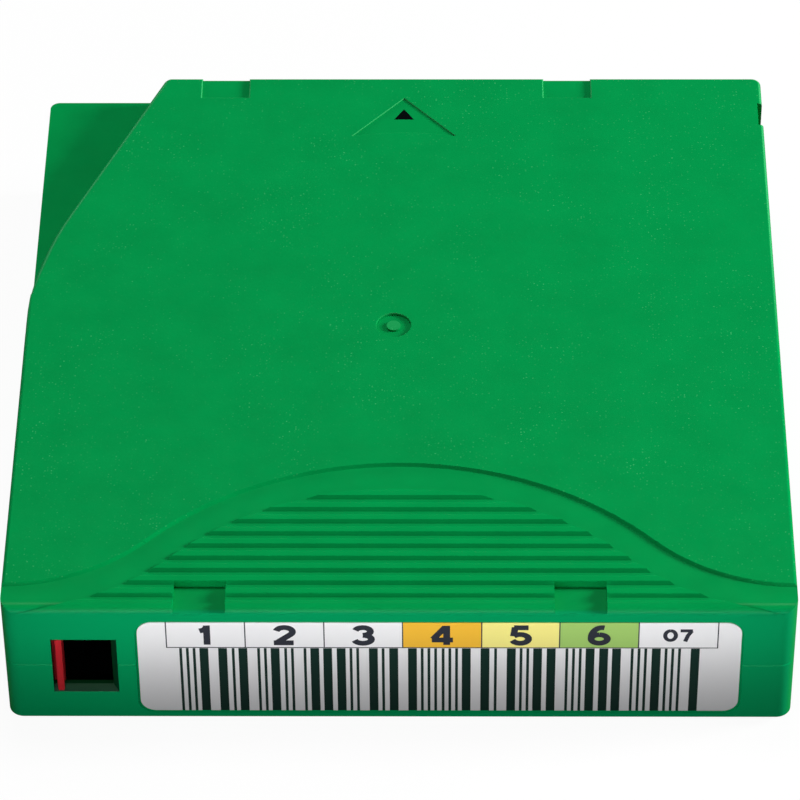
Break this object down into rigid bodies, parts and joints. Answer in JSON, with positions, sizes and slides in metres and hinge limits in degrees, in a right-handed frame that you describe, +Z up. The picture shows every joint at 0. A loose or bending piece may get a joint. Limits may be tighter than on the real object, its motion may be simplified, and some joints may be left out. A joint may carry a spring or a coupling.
{
  "type": "data tape cartridge",
  "caption": "Flat two-part case round a reel of data tape, with a sliding tape door, a write-protect slider, a ribbed grip area and a label above the bottom edge.",
  "frame": {"origin": "middle of the case's bottom face", "axes": "+Z up, +Y the way the cartridge is inserted, +X to the right seen from the label end"},
  "size_m": [0.102, 0.1054, 0.0215],
  "materials": {
    "case_plastic": "fine matt, green",
    "label_paper": "coated paper, printed",
    "screw_steel": "dark zinc",
    "pin_steel": "turned, bright",
    "clip_plastic": "black moulding",
    "spring_steel": "bright",
    "tape_film": "coated film, glossy",
    "board_laminate": "solder mask",
    "chip_resin": "moulded resin",
    "door_plastic": "fine matt, green",
    "slider_plastic": "satin, red",
    "reel_plastic": "natural moulding",
    "flange_plastic": "natural moulding",
    "plate_steel": "stamped",
    "brake_plastic": "natural moulding"
  },
  "bodies": {
    "case": {"upper_case": "case_plastic", "lower_case": "case_plastic", "label": "label_paper", "case_screws": "screw_steel", "leader_pin": "pin_steel", "leader_pin_clip": "clip_plastic", "pin_spring": "spring_steel", "tape_leader": "tape_film", "memory_board": "board_laminate", "memory_chip": "chip_resin", "door_spring": "spring_steel", "brake_spring": "spring_steel"},
    "tape_door": {"door": "door_plastic"},
    "protect_slider": {"write_protect_slider": "slider_plastic"},
    "reel": {"reel_hub": "reel_plastic", "reel_upper_flange": "flange_plastic", "reel_plate": "plate_steel", "tape_pack": "tape_film"},
    "brake": {"brake_disc": "brake_plastic"},
    "release": {"release_pad": "brake_plastic"}
  },
  "joints": [
    {"name": "door_slide", "type": "slide", "parent": "case", "child": "tape_door", "axis": [0, -1, 0], "range_m": [0, 0.021], "stiffness_N_per_m": 20, "springref_m": -0.02, "deforming": ["door_spring"]},
    {"name": "write_protect_slide", "type": "slide", "parent": "case", "child": "protect_slider", "axis": [1, 0, 0], "range_m": [0, 0.0062]},
    {"name": "reel_spin", "type": "hinge", "parent": "case", "child": "reel", "pos_m": [-0.0011, 0.0004, 0.00875], "axis": [0, 0, 1], "continuous": true},
    {"name": "brake_lift", "type": "slide", "parent": "case", "child": "brake", "axis": [0, 0, 1], "range_m": [0, 0.002], "stiffness_N_per_m": 300, "springref_m": -0.01, "deforming": ["brake_spring"]},
    {"name": "release_lift", "type": "slide", "parent": "reel", "child": "release", "axis": [0, 0, 1], "range_m": [0, 0.002]}
  ],
  "couplings": [
    {"joint": "release_lift", "follows": "brake_lift", "ratio": 1}
  ]
}
